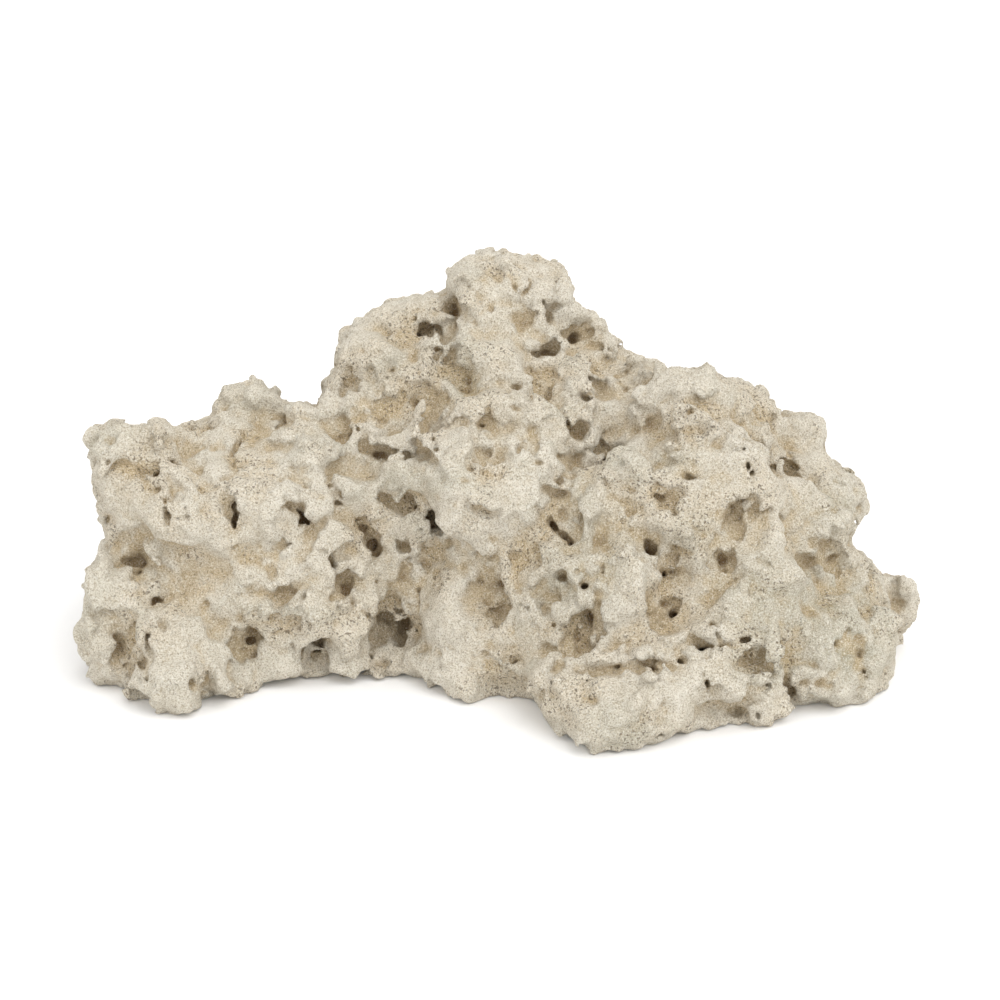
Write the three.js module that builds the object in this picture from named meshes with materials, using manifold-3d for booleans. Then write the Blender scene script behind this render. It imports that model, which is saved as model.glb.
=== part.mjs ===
// Aquarium base rock: one piece of pale, porous reef limestone that rests on its own feet.
// Millimetres, +Z up, +X to the right of the side it is usually seen from, which faces -Y.
// The origin is under the middle of the stone, on the surface that it rests on.
import * as THREE from 'three';
import Module from 'manifold-3d';
import { ImprovedNoise } from 'three/addons/math/ImprovedNoise.js';
import { mergeVertices } from 'three/addons/utils/BufferGeometryUtils.js';

const wasm = await Module();
wasm.setup();

// Driving dimensions
const WIDTH = 300;
const DEPTH = 200;
const HEIGHT = 138;
const FACET = 11.2;
const BLOCKINESS = 2.9;
const SWELL = { size: 10, wavelength: 44 };
const RIPPLE = { size: 7, wavelength: 19 };
const PIT_FACET = 8;
const PIT_RIPPLE = 3;
const FLOOR_CUT = 60;

// Lobes that the stone is made of: centre x, y, z and half sizes along x, y, z
const LOBES = {
  leftBlock: [-96, -14, 40, 42, 50, 42],
  leftUpperKnob: [-119, -30, 72, 17, 20, 20],
  leftLowerBulge: [-121, -40, 17, 18, 28, 27],
  leftFoot: [-106, -62, 7, 20, 24, 18],
  leftLowerWall: [-84, -40, 18, 32, 28, 36],
  leftMiddleKnob: [-104, -22, 67, 14, 18, 13],
  leftTopKnob: [-87, 2, 67, 16, 26, 24],
  leftShoulder: [-64, -26, 58, 22, 26, 28],
  slope: [-32, 12, 60, 32, 44, 52],
  slopeStep: [-38, 2, 88, 17, 24, 21],
  slopeLedge: [-32, -22, 62, 24, 24, 24],
  bayFloor: [-40, -18, 12, 38, 34, 32],
  shadedBlock: [-4, -8, 92, 17, 20, 22],
  peak: [6, 14, 112, 22, 22, 27],
  peakKnob: [-5, 16, 125, 9, 12, 13],
  peakLeftStep: [-22, 18, 90, 24, 32, 30],
  peakRightStep: [24, 20, 80, 20, 32, 33],
  rightTopStep: [45, 8, 81, 18, 24, 20],
  middle: [8, -14, 60, 34, 46, 42],
  middleBase: [4, -45, 12, 30, 30, 38],
  middleNose: [32, -44, 56, 22, 26, 22],
  frontTip: [38, -84, 4, 24, 32, 24],
  frontRise: [36, -56, 28, 26, 34, 34],
  rightBlock: [66, -22, 48, 36, 52, 48],
  rightBrow: [52, -46, 64, 24, 28, 20],
  rightBase: [66, -60, 14, 36, 36, 32],
  rightCrown: [76, 0, 67, 26, 32, 27],
  rightEye: [84, -44, 48, 22, 30, 26],
  endBlock: [94, -14, 39, 25, 46, 34],
  endBase: [100, -47, 10, 32, 34, 27],
  endKnob: [136, -20, 20, 14, 16, 12],
  endUpperKnob: [118, -2, 47, 11, 16, 13],
  endTopKnob: [103, 4, 72, 13, 16, 12],
  endShelf: [118, -22, 30, 18, 26, 18],
  belly: [38, 2, 44, 26, 34, 36],
  backLeft: [-70, 42, 34, 50, 40, 38],
  backLeftKnob: [-104, 36, 30, 26, 24, 30],
  backMiddle: [-14, 52, 42, 44, 40, 52],
  backShelf: [-40, 66, 22, 30, 28, 26],
  backRight: [60, 44, 36, 50, 40, 44],
  backRightKnob: [92, 40, 26, 26, 28, 30],
  backFoot: [24, 76, 16, 32, 22, 22],
};

// Hollows worn into the stone: centre x, y, z, half sizes along x, y, z
const HOLLOWS = {
  leftBasin: [-84, -78, 52, 26, 18, 12],
  leftHole: [-119, -58, 50, 6, 13, 6],
  leftSlot: [-89, -56, 66, 4, 16, 7],
  leftTopNotch: [-100, -40, 88, 8, 22, 9],
  leftUnderKnob: [-144, -46, 44, 9, 22, 9],
  shoulderHole: [-67, -54, 66, 4, 12, 5],
  lowerHole: [-80, -68, 29, 5, 14, 6],
  bayHole: [-52, -50, 40, 5, 16, 7],
  slopeHole: [-46, -46, 55, 4, 16, 9],
  slotCave: [-38, -46, 80, 10, 12, 3],
  flutedHollow: [-38, -59, 20, 10, 11, 16],
  underLedge: [-8, -74, 34, 13, 12, 12],
  underSlope: [-62, -62, 10, 8, 16, 10],
  shadedFacet: [-20, -34, 100, 9, 16, 12],
  middleCave: [22, -68, 60, 6, 14, 8],
  roundHole: [50, -76, 60, 4, 16, 4],
  sideCave: [62, -76, 55, 7, 16, 5],
  lowerCave: [57, -90, 36, 8, 16, 6],
  rightCup: [81, -74, 64, 11, 9, 9],
  rightSlot: [84, -42, 84, 3, 16, 9],
  rightCrevice: [68, -92, 20, 12, 12, 4],
  endHole: [109, -78, 10, 5, 14, 5],
  endNotch: [134, -24, 42, 10, 24, 7],
  topBowl: [33, -20, 118, 9, 16, 8],
  backCave: [14, 100, 34, 12, 18, 10],
  backCup: [-64, 84, 44, 14, 14, 10],
  backSlot: [84, 86, 46, 6, 18, 12],
  undersideLeft: [-88, -14, 0, 30, 24, 13],
  undersideBay: [-34, -18, 0, 20, 16, 8],
  undersideMiddle: [2, 4, 0, 30, 24, 15],
  undersideFront: [26, -52, 0, 24, 18, 11],
  undersideRight: [74, -18, 0, 28, 26, 14],
  undersideEnd: [106, -44, 0, 16, 16, 8],
  undersideBack: [34, 50, 0, 32, 20, 12],
  undersideBackLeft: [-64, 40, 0, 26, 16, 10],
};

const noise = new ImprovedNoise();

// Natural roughness at a point of the stone, between about -1 and 1
function roughness(point, wavelength, shift) {
  const step = 1 / wavelength;
  return noise.noise(point.x * step + shift, point.y * step - shift, point.z * step + 2 * shift);
}

// A blocky ellipsoid whose skin is pushed in and out
function roughBlob([x, y, z, rx, ry, rz], facet, push) {
  const middleRadius = Math.cbrt(rx * ry * rz);
  const area = 4 * Math.PI * middleRadius ** 2;
  const facets = area / (0.43 * facet ** 2);
  const detail = Math.max(1, Math.round(Math.sqrt(facets / 20)) - 1);
  const ball = new THREE.IcosahedronGeometry(1, detail);
  ball.deleteAttribute('normal');
  ball.deleteAttribute('uv');
  const blob = mergeVertices(ball, 1e-4);
  const position = blob.attributes.position;
  const direction = new THREE.Vector3();
  const point = new THREE.Vector3();
  for (let i = 0; i < position.count; i++) {
    direction.fromBufferAttribute(position, i).normalize();
    const power = [direction.x, direction.y, direction.z]
      .reduce((sum, part) => sum + Math.abs(part) ** BLOCKINESS, 0);
    const reach = power ** (-1 / BLOCKINESS);
    point.set(x + direction.x * reach * rx, y + direction.y * reach * ry, z + direction.z * reach * rz);
    point.addScaledVector(direction, push(point));
    position.setXYZ(i, point.x, point.y, point.z);
  }
  return toSolid(blob);
}

function toSolid(geometry) {
  const mesh = new wasm.Mesh({
    numProp: 3,
    vertProperties: new Float32Array(geometry.attributes.position.array),
    triVerts: new Uint32Array(geometry.index.array),
  });
  return new wasm.Manifold(mesh);
}

function toGeometry(solid) {
  const mesh = solid.getMesh();
  const geometry = new THREE.BufferGeometry();
  geometry.setAttribute('position', new THREE.BufferAttribute(mesh.vertProperties, 3));
  geometry.setIndex(new THREE.BufferAttribute(mesh.triVerts, 1));
  return geometry;
}

function stoneSkin(point) {
  const swell = SWELL.size * roughness(point, SWELL.wavelength, 3.7);
  return swell + RIPPLE.size * roughness(point, RIPPLE.wavelength, 11.3);
}

function hollowSkin(point) {
  return PIT_RIPPLE * roughness(point, RIPPLE.wavelength / 2, 5.1);
}

// A block below the resting plane that trims every foot flat at z = 0
function ground() {
  const block = new THREE.BoxGeometry(2 * WIDTH, 2 * DEPTH, FLOOR_CUT);
  block.translate(0, 0, -FLOOR_CUT / 2);
  block.deleteAttribute('normal');
  block.deleteAttribute('uv');
  return toSolid(mergeVertices(block));
}

function stoneSolid() {
  let stone = null;
  for (const lobe of Object.values(LOBES)) {
    const blob = roughBlob(lobe, FACET, stoneSkin);
    stone = stone ? stone.add(blob) : blob;
  }
  for (const hollow of Object.values(HOLLOWS)) {
    stone = stone.subtract(roughBlob(hollow, PIT_FACET, hollowSkin));
  }
  return stone.subtract(ground());
}

// Brings the stone to its exact overall size, centred over the origin
function fitToSize(geometry) {
  geometry.computeBoundingBox();
  const size = geometry.boundingBox.getSize(new THREE.Vector3());
  const centre = geometry.boundingBox.getCenter(new THREE.Vector3());
  geometry.translate(-centre.x, -centre.y, 0);
  geometry.scale(WIDTH / size.x, DEPTH / size.y, HEIGHT / size.z);
  return geometry;
}

const limestone = new THREE.MeshStandardMaterial({ color: '#c7bda9', roughness: 0.95, metalness: 0 });

const stone = new THREE.Mesh(fitToSize(toGeometry(stoneSolid())), limestone);
stone.name = 'base_rock';

const group = new THREE.Group();
group.name = 'aquarium_base_rock';
group.add(stone);

export default group;
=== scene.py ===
"""Aquarium base rock: the pitted, chalky surface of one block of reef limestone."""

import math

import bpy
import numpy as np
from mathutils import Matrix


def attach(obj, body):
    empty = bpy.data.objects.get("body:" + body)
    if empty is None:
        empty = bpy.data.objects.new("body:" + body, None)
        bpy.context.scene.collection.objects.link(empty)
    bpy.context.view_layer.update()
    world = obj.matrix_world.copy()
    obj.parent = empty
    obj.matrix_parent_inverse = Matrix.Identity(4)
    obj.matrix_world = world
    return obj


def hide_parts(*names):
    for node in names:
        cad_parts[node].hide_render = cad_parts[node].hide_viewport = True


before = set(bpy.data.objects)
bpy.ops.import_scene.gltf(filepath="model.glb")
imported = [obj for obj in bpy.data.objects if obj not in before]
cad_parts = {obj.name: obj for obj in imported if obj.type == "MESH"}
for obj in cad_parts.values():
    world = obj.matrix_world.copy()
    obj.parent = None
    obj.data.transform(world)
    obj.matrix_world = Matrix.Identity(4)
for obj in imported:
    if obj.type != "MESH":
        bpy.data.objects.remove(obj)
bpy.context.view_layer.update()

import openvdb as vdb
from mathutils import Vector

NODE = "base_rock"
BODY = "root"
MM = 0.001

# Camera, at the photograph's viewing angle. Lengths in millimetres.
PICTURE = 1000
LENS = 70.0
SENSOR = 36.0
ELEVATION = math.radians(20)
DISTANCE = 700.0
TARGET = np.array([0.0, 0.0, 50.0])
BACKWARD = np.array([0.0, -math.cos(ELEVATION), math.sin(ELEVATION)])
UPWARD = np.array([0.0, math.sin(ELEVATION), math.cos(ELEVATION)])
RIGHTWARD = np.array([1.0, 0.0, 0.0])
EYE = TARGET + BACKWARD * DISTANCE
FOCAL = LENS / SENSOR * PICTURE
CAMERA_SEES_TO = 60000.0

# Half the stretch of a camera ray that is searched for the stone, and the steps by which the
# way from the skin to the camera is searched
RAY_SEARCH = 190.0
SIGHT_STEPS = np.arange(4.0, 130.0, 3.0)

# Grids that the stone is carved in, in millimetres: fine and coarse spacing, free space round
# the stone, how far from its skin distances are kept, and half the width of the gaps that are
# filled first
VOXEL = 0.8
COARSE = 2 * VOXEL
MARGIN = 10.0
BAND = 12.0
CLOSING = 6.0

# Triangles after the first and the last thinning
FIRST_FACES = 340000
FACES = 198000

SEED = 7

# Natural relief, as wavelength and typical height in millimetres: how space is pushed about,
# waves of the skin, and fine grain
BEND = [(30.0, 1.2), (13.0, 1.2)]
RELIEF = [(22.0, 1.2)]
GRAIN = [(4.6, 0.30), (2.4, 0.22)]

# In millimetres: how much the stone gains all round before it is broken and worn, the height
# above the floor at which its feet get their outline, and the height under which its faces are
# shaded flat
GAIN = 1.8
FOOT = 3.0
FLAT_UNDER = 0.3

# The cut along the photograph's outline: step of its distance picture in pixels, and how
# softly it meets the stone in millimetres
OUTLINE_STEP = 4
TRIM_ROUNDING = 2.5

# Holes lean down and to the right of the view. From the deep ones to the shallow ones, in
# millimetres, they open out: they get wider by a share, and start further out by a share of
# their depth.
PLUNGE = np.array([0.15, 0.0, -0.45])
DEEP_HOLE = 7.0
SHALLOW_HOLE = 3.5
OPEN_WIDENING = 0.25
OPEN_LIFT = 0.5

# A second, shallow pit beside each hole's middle keeps its rim from being an oval: how far to
# the side at most, how wide and how deep, as shares of the hole
JOG = 0.4
RIM_WIDTH = 1.1
RIM_DEPTH = 0.4

# Scoops are cut by a ball that stands off the skin: how much wider than the list says, and its
# half length as a share of how far it stands off
SCOOP_WIDENING = 1.15
SCOOP_LENGTH = 1.6

# How ragged walls are, as a share of a pit's smallest radius
HOLE_RAGGED = 0.25
CUP_RAGGED = 0.35
SCOOP_RAGGED = 0.4
PIT_RAGGED = 0.5

# Broken flakes: size of a flake, how steeply it tilts, how far it steps out or in, depth of
# the crevice round it, that crevice's share of the flake, and the depth of skin that is broken
LARGE_FLAKES = (15.0, 0.21, 0.9, 0.8, 0.14, 5.0)
SMALL_FLAKES = [
    (7.5, 0.28, 0.6, 0.4, 0.18, 3.4),
    (3.8, 0.26, 0.28, 0.25, 0.22, 2.0),
]

# The flakes repeat after this many in a row, and where the skin is calm, this share of their
# size is left
FLAKE_KINDS = 32
LEAST_FLAKES = 0.15

# Softening after the flakes and after the pits, in cells of the fine grid
SOFTEN_FLAKES = 0.6
SOFTEN_PITS = 0.5

# Raggedness of the pits' walls: how wide its bumps are, in millimetres
WOBBLE = (1.5, 3.2)

# Cups all over and pores on the sides that the photograph doesn't show: how many, smallest and
# largest radius in millimetres
CUPS = (700, 2.5, 6.5)
PORES = [(500, 1.6, 6.0), (250, 0.8, 1.5)]

# How far round a place its hollowness is measured, in millimetres
HOLLOW_REACH = {"pit": 2.2, "hollow": 6.5}

# Tan that is partly deposits and partly painted shade: its strength in holes and in wide hollows, and
# how far it spreads round a hole
HOLE_OCHRE_AND_SHADE = 1.0
HOLLOW_OCHRE_AND_SHADE = 0.35
OCHRE_AND_SHADE_SPREAD = 1.4

# Studio: strengths of its lights, where the two panels are and how wide they look, and half
# the width of the floor in metres
SKY = 1.02
KEY = 1.4
FILL = 0.3
KEY_FROM = (0.45, -0.55, 1.0)
FILL_FROM = (-0.8, -0.9, 0.7)
PANEL_ANGLE = math.radians(50)
FLOOR_HALF_WIDTH = 20.0

# Colours of the stone and the floor, as a screen shows them
CREAM = (232, 224, 207)
SAND = (219, 209, 189)
WARM = (220, 200, 168)
LICHEN_GREY = (190, 186, 166)
# The next grey is partly stains and partly painted shade.
STAIN_AND_SHADE_GREY = (186, 182, 162)
# The next colour is a painted highlight, paler on raised crests where light falls most.
CREST_HIGHLIGHT = (240, 233, 217)
# The next colour is tan that is partly deposits in hollows and partly painted shade there.
TAN_AND_SHADE = (204, 179, 134)
# The next colour is brown that is partly deposits and partly painted shade deep in pits.
DEEP_BROWN_AND_SHADE = (160, 126, 80)
GRAIN_DARK = (158, 140, 110)
GRAIN_LIGHT = (250, 246, 235)
SPECK = (96, 82, 62)
FLOOR_WHITE = (250, 250, 250)

# Holes seen in the photograph: x, y, half width and half height in its pixels, turn in degrees
# (top leaning right), and depth in millimetres
HOLES = {
    "left block": [
        (137, 556, 12, 11, 20, 12), (140, 569, 5, 8, 10, 11), (127, 560, 8, 5, 0, 6),
        (138, 537, 7, 5, 0, 4), (230, 507, 9, 14, -8, 8), (234, 518, 4, 8, 10, 9),
        (292, 504, 9, 6, 20, 7), (301, 511, 6, 10, -25, 9), (165, 510, 3, 11, -8, 6),
        (181, 500, 2, 6, 15, 4), (236, 446, 2, 9, 15, 7), (234, 466, 3, 9, -25, 7),
        (265, 436, 9, 7, 0, 4), (285, 418, 3, 9, 15, 4), (286, 443, 5, 5, 0, 3),
        (214, 447, 5, 3, -40, 3), (107, 438, 9, 6, 0, 2.5), (145, 430, 8, 7, 0, 2),
        (168, 441, 7, 4, 0, 2), (130, 466, 16, 5, 10, 3), (145, 484, 5, 8, -20, 2),
        (120, 528, 2, 3, 0, 3), (327, 483, 2, 4, 25, 4),
    ],
    "left base": [
        (344, 583, 10, 12, 0, 7), (338, 592, 5, 5, 0, 8), (317, 640, 7, 8, 0, 8),
        (253, 634, 9, 8, 35, 5), (262, 622, 9, 5, 20, 4), (248, 638, 5, 5, 0, 5),
        (238, 617, 2, 2, 0, 3), (241, 609, 2, 2, 0, 3), (285, 647, 2, 2, 0, 3), (185, 572, 3, 4, 0, 3),
        (166, 586, 4, 2, 0, 2), (205, 606, 2, 3, 0, 2), (108, 627, 6, 3, -20, 2.5),
        (141, 660, 5, 10, -20, 7), (146, 678, 2, 5, -10, 6), (146, 642, 3, 7, -10, 5),
        (193, 686, 6, 4, 0, 3), (250, 681, 3, 3, 0, 2),
    ],
    "peak": [
        (548, 350, 8, 8, 0, 6), (545, 340, 5, 6, 0, 4), (571, 337, 5, 7, 10, 6),
        (585, 335, 12, 7, -10, 4), (597, 345, 6, 4, 0, 4), (526, 318, 8, 7, 0, 4),
        (484, 278, 7, 5, 0, 3), (484, 260, 4, 4, 0, 2), (513, 282, 4, 8, -25, 3),
        (516, 291, 3, 2, 0, 3), (453, 307, 3, 7, 10, 4), (480, 312, 5, 8, 0, 3),
        (490, 305, 4, 4, 0, 3), (437, 312, 13, 5, 0, 3), (408, 312, 7, 6, 0, 2),
        (425, 333, 6, 3, -20, 4), (418, 328, 8, 5, -30, 2.5), (415, 352, 8, 9, 20, 3.5),
        (402, 395, 3, 7, 0, 4), (450, 362, 3, 12, 10, 4), (452, 350, 3, 6, 0, 4),
        (419, 372, 2, 3, 0, 3), (363, 351, 2, 3, 0, 2), (447, 400, 5, 3, -40, 5),
        (428, 403, 10, 3, 0, 4), (440, 385, 10, 12, 20, 2), (615, 360, 9, 3, 0, 3),
        (618, 381, 3, 3, 0, 3),
    ],
    "ledges below the peak": [
        (360, 415, 10, 10, 0, 3), (382, 412, 10, 8, -30, 3.5), (345, 433, 9, 3, -20, 3),
        (363, 433, 5, 5, 0, 3), (378, 450, 14, 4, 8, 5), (398, 457, 10, 3, -5, 6),
        (404, 452, 5, 4, 0, 6), (423, 470, 7, 4, 0, 6), (414, 442, 5, 6, 20, 4.5),
        (435, 444, 4, 7, -20, 5), (432, 436, 3, 5, 0, 4), (453, 445, 4, 4, 0, 2.5),
        (469, 466, 3, 2, 0, 4), (464, 479, 6, 3, 20, 3.5), (441, 494, 6, 5, -20, 3),
        (454, 504, 4, 5, 0, 2), (402, 505, 15, 7, 20, 3.5), (420, 508, 3, 8, -20, 5),
        (408, 497, 10, 5, 10, 3), (484, 424, 5, 2, 0, 3), (478, 415, 12, 3, -35, 2),
        (518, 447, 2, 4, 0, 4), (519, 456, 2, 5, 0, 4), (541, 461, 5, 4, -20, 4),
        (578, 431, 10, 5, -35, 4), (568, 427, 2, 5, 0, 5), (560, 417, 8, 4, 0, 3),
        (525, 407, 10, 3, 0, 3), (535, 435, 7, 7, 20, 2), (550, 386, 3, 8, 0, 3.5),
        (525, 392, 4, 3, 0, 2), (537, 393, 3, 3, 0, 2), (600, 388, 10, 6, 0, 3),
        (590, 395, 3, 6, 0, 3), (640, 392, 8, 7, 0, 2.5), (424, 408, 6, 16, 12, 5),
    ],
    "middle": [
        (355, 552, 4, 4, 0, 4), (361, 527, 7, 8, -30, 9), (368, 537, 7, 10, -30, 11),
        (373, 547, 5, 7, -20, 8), (553, 523, 3, 7, -40, 9), (562, 535, 3, 6, -35, 9),
        (571, 543, 3, 5, -20, 8), (579, 487, 4, 5, 0, 4), (580, 525, 4, 12, 5, 4),
        (582, 583, 4, 5, 0, 6), (575, 570, 6, 8, -20, 4), (518, 589, 5, 3, -20, 5),
        (509, 629, 3, 8, -15, 3.5), (505, 612, 12, 9, -30, 4), (492, 538, 3, 3, 0, 2),
        (447, 543, 7, 3, -35, 3), (465, 532, 2, 4, -20, 2), (367, 622, 3, 6, 0, 3),
        (387, 612, 9, 8, 0, 3), (403, 628, 5, 16, 0, 4.5), (410, 610, 7, 7, 0, 3),
        (380, 663, 9, 7, -20, 4), (403, 580, 5, 11, 0, 4), (418, 586, 4, 3, 0, 4),
        (395, 572, 7, 5, 0, 3), (492, 668, 9, 6, -10, 2.5), (538, 693, 5, 4, 0, 2.5),
        (545, 700, 4, 3, 0, 3), (588, 620, 5, 12, 10, 5), (580, 640, 6, 10, 10, 4.5),
        (560, 655, 5, 12, 15, 4), (598, 603, 3, 5, 0, 4), (571, 640, 9, 14, 20, 3),
        (602, 563, 2, 2, 0, 3), (602, 573, 2, 2, 0, 3), (553, 624, 2, 3, 0, 3), (560, 513, 2, 2, 0, 2),
        (605, 555, 10, 8, 0, 1.5), (590, 699, 5, 3, 0, 3),
    ],
    "right shoulder": [
        (748, 440, 3, 7, 20, 10), (744, 448, 4, 4, 0, 10), (748, 462, 4, 9, -10, 6),
        (755, 470, 8, 5, 0, 3), (693, 470, 5, 9, 10, 4), (693, 475, 8, 3, 0, 5),
        (660, 500, 6, 3, 0, 5), (668, 497, 12, 6, 0, 4), (655, 490, 8, 8, 0, 2),
        (630, 510, 6, 6, 0, 3), (734, 515, 9, 12, 10, 4), (720, 515, 5, 6, 0, 3),
        (755, 520, 16, 14, 0, 2.5), (705, 532, 4, 4, 0, 2), (815, 541, 9, 5, 0, 5),
        (822, 542, 6, 3, 0, 6), (785, 470, 13, 6, 0, 3), (795, 475, 6, 6, 0, 4),
        (723, 437, 4, 6, 0, 2.5), (757, 410, 6, 6, 0, 3), (725, 387, 5, 3, 0, 2),
        (690, 410, 5, 5, 0, 4), (686, 428, 8, 3, -10, 4), (652, 417, 2, 2, 0, 3),
        (673, 448, 10, 2, 0, 2.5), (705, 404, 8, 4, 0, 2), (858, 492, 4, 7, 0, 3),
        (860, 510, 4, 6, -20, 3), (836, 508, 6, 7, 0, 2.5),
    ],
    "right caves": [
        (650, 545, 9, 7, 0, 9), (645, 540, 4, 4, 0, 9), (656, 541, 4, 4, 0, 8),
        (672, 560, 10, 9, 0, 5), (685, 556, 9, 6, -20, 4), (664, 570, 3, 5, 20, 6),
        (660, 587, 3, 6, 0, 5), (648, 595, 3, 6, 15, 4), (720, 560, 5, 9, -15, 5),
        (723, 570, 4, 3, 0, 6), (718, 592, 9, 5, -40, 2), (672, 611, 7, 9, 15, 11),
        (668, 603, 8, 4, 0, 6), (660, 612, 11, 8, 0, 4), (655, 622, 7, 2, 30, 8),
        (664, 625, 5, 3, 0, 6), (711, 622, 3, 3, 0, 6), (715, 630, 2, 6, -25, 9),
        (720, 641, 4, 6, 0, 6), (703, 648, 9, 2, 0, 9), (720, 649, 6, 2, 0, 8),
        (748, 638, 7, 3, -15, 6), (740, 645, 6, 3, 0, 3), (716, 612, 2, 2, 0, 3),
        (641, 672, 3, 4, 20, 7), (652, 665, 8, 3, 20, 8), (668, 667, 9, 2, 15, 8),
        (680, 658, 6, 4, 35, 5), (692, 636, 8, 6, 20, 4.5), (640, 665, 14, 6, 0, 3.5),
        (615, 668, 18, 4, 0, 3), (707, 681, 4, 6, -30, 9), (703, 673, 3, 4, 0, 8),
    ],
    "right end": [
        (800, 555, 10, 3, -10, 4), (815, 560, 8, 3, -15, 5), (829, 570, 4, 5, 0, 5),
        (788, 675, 2, 3, 0, 4), (820, 680, 7, 5, 0, 4), (830, 684, 6, 5, -30, 4.5),
        (864, 670, 4, 4, 0, 5), (858, 655, 3, 8, 0, 3), (860, 638, 7, 5, 0, 3.5),
        (845, 642, 7, 3, 0, 2.5), (895, 605, 7, 7, 0, 3), (905, 612, 5, 5, 0, 2),
        (872, 580, 3, 8, -10, 2.5), (883, 620, 3, 3, 0, 2), (870, 612, 5, 5, 0, 2),
        (812, 612, 6, 4, 0, 2), (825, 615, 6, 3, 0, 2), (765, 665, 12, 14, 0, 3),
        (750, 660, 8, 10, 0, 2.5), (775, 655, 5, 5, 0, 2), (738, 711, 4, 3, 0, 3),
    ],
}

# The stone's outline in the photograph, in its pixels: left side, base, right side and top
OUTLINE = [
    (88, 425), (86, 445), (93, 465), (97, 500), (103, 515), (109, 535), (103, 550), (90, 565),
    (86, 580), (84, 617), (76, 622), (75, 635), (80, 650), (85, 660), (83, 672), (90, 681), (120, 691),
    (145, 695), (150, 708), (163, 714), (197, 713), (208, 700), (220, 695), (247, 698), (260, 690),
    (263, 681), (300, 676), (335, 672), (355, 680), (370, 670), (378, 674), (415, 676), (430, 684),
    (445, 680), (450, 692), (460, 703), (475, 706), (500, 700), (520, 696), (540, 700), (545, 715),
    (550, 727), (560, 734), (580, 742), (600, 750), (620, 754), (640, 752), (655, 743), (690, 733),
    (722, 731), (745, 717), (755, 722), (770, 728), (795, 716), (815, 708), (850, 706), (870, 700),
    (890, 682), (897, 665), (899, 650), (898, 630), (915, 625), (921, 615), (918, 605), (922, 592),
    (905, 578), (880, 577), (872, 563), (862, 555), (849, 547), (852, 535), (860, 522), (870, 515),
    (872, 505), (865, 490), (860, 480), (833, 465), (825, 450), (824, 422), (818, 415), (807, 413),
    (800, 418), (775, 414), (765, 395), (755, 387), (738, 380), (725, 382), (710, 367), (690, 371),
    (670, 370), (645, 365), (620, 345), (606, 332), (603, 322), (575, 303), (572, 290), (560, 262),
    (550, 255), (508, 248), (477, 252), (458, 258), (450, 262), (447, 290), (433, 288), (410, 297),
    (395, 303), (372, 310), (365, 320), (340, 335), (338, 372), (328, 376), (322, 400), (320, 410),
    (308, 404), (286, 405), (268, 388), (262, 380), (247, 381), (225, 390), (216, 400), (213, 416),
    (175, 432), (155, 423), (135, 427), (110, 420),
]

# Broad hollows, the same way
DENTS = [
    (245, 564, 66, 26, 0, 3.5), (130, 468, 20, 8, 0, 3), (375, 412, 26, 10, 0, 2),
    (562, 506, 18, 30, 5, 7), (522, 573, 20, 16, 0, 3), (474, 577, 28, 34, -45, 8),
    (498, 605, 16, 14, 0, 4), (512, 543, 40, 8, 0, 3), (392, 628, 24, 26, 0, 3),
    (578, 636, 16, 24, 15, 4), (745, 515, 30, 22, 0, 3.5), (780, 472, 28, 8, 0, 3),
    (661, 497, 16, 9, 0, 3), (468, 388, 14, 34, -25, 3), (120, 650, 30, 10, 0, 2),
    (110, 670, 30, 12, 0, 4), (180, 690, 30, 8, 0, 2), (615, 668, 40, 6, 0, 3),
    (765, 660, 22, 20, 0, 4), (850, 650, 20, 14, 0, 2.5), (590, 345, 24, 10, 0, 2),
    (545, 350, 12, 12, 0, 1.5), (400, 505, 26, 10, 10, 1.5), (600, 560, 22, 34, 0, 2.5),
]

# Scoops with a crisp rim, the same way, with how far the ball that cuts them stands off the
# skin in place of depth
SCOOPS = [
    (560, 497, 17, 27, 8, 4), (470, 568, 22, 12, -20, 3), (492, 592, 18, 20, -30, 4),
    (515, 575, 12, 14, 0, 3), (392, 634, 13, 20, -5, 2.5), (408, 622, 9, 16, 0, 2),
    (745, 512, 19, 14, 10, 1.8), (278, 573, 32, 20, 10, 1.8), (740, 712, 20, 10, 0, 2.5),
    (130, 470, 18, 8, 10, 3), (410, 504, 18, 9, 20, 2), (572, 431, 13, 8, -35, 4),
    (384, 453, 18, 5, 5, 4), (371, 418, 20, 9, -10, 2), (548, 348, 12, 10, 0, 3),
    (582, 335, 16, 10, -15, 3), (526, 317, 12, 10, 0, 3), (415, 325, 16, 8, -20, 2),
    (440, 310, 12, 8, 0, 2), (586, 632, 12, 22, 12, 4), (765, 655, 16, 16, 0, 3),
    (852, 645, 12, 14, 0, 3), (110, 670, 24, 12, 0, 3), (115, 640, 18, 8, 0, 2.5),
    (672, 560, 12, 11, 0, 3.5), (660, 500, 14, 8, 0, 3), (725, 562, 8, 10, -15, 3.5),
    (785, 472, 16, 7, 0, 3), (812, 560, 18, 6, -10, 3), (700, 640, 16, 8, 20, 3),
    (620, 392, 18, 8, 0, 2), (535, 395, 14, 7, 0, 1.5), (500, 415, 16, 7, 0, 1.5),
    (640, 425, 16, 8, 0, 2), (700, 440, 18, 8, 10, 2.5),
]

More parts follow.
